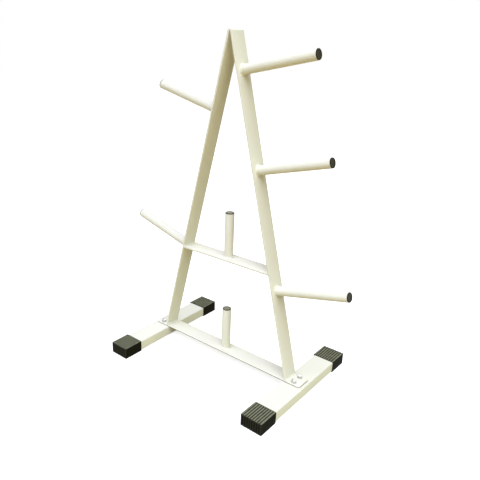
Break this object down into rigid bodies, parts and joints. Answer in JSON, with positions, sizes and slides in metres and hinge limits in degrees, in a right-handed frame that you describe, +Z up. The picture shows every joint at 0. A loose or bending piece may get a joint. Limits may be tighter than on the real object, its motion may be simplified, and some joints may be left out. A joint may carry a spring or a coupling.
{
  "type": "weight plate rack",
  "caption": "Free-standing A-frame rack that stores weight plates on tube horns along its legs and on upright posts between them.",
  "frame": {"origin": "on the floor, at the middle of the whole rack's outline seen from above; the A-frame's middle plane is 7.1 mm to the left of it, because the right horns reach further out", "axes": "+Z up; X along the base bar from the left foot to the right foot; -Y to the front; metres"},
  "size_m": [0.7244, 0.424, 0.9286],
  "materials": {
    "frame_paint": "ivory powder coat, semi-gloss, fine orange peel",
    "plug_plastic": "black moulded polyethylene",
    "cap_rubber": "black ribbed rubber",
    "zinc_plate": "bright zinc plate"
  },
  "bodies": {
    "root": {"a_frame": "frame_paint", "shelf_bar": "frame_paint", "base_bar": "frame_paint", "horn_right_top": "frame_paint", "horn_right_middle": "frame_paint", "horn_right_low": "frame_paint", "horn_left_upper": "frame_paint", "horn_left_lower": "frame_paint", "shelf_post": "frame_paint", "base_post": "frame_paint", "foot_tube_left": "frame_paint", "foot_tube_right": "frame_paint", "plug_right_top": "plug_plastic", "plug_right_middle": "plug_plastic", "plug_right_low": "plug_plastic", "plug_left_upper": "plug_plastic", "plug_left_lower": "plug_plastic", "plug_shelf_post": "plug_plastic", "plug_base_post": "plug_plastic", "foot_cap_left_front": "cap_rubber", "foot_cap_left_back": "cap_rubber", "foot_cap_right_front": "cap_rubber", "foot_cap_right_back": "cap_rubber", "bolt_left_front": "zinc_plate", "bolt_left_back": "zinc_plate", "bolt_right_front": "zinc_plate", "bolt_right_back": "zinc_plate", "washer_left_front": "zinc_plate", "washer_left_back": "zinc_plate", "washer_right_front": "zinc_plate", "washer_right_back": "zinc_plate", "nut_left_front": "zinc_plate", "nut_left_back": "zinc_plate", "nut_right_front": "zinc_plate", "nut_right_back": "zinc_plate"}
  },
  "joints": []
}
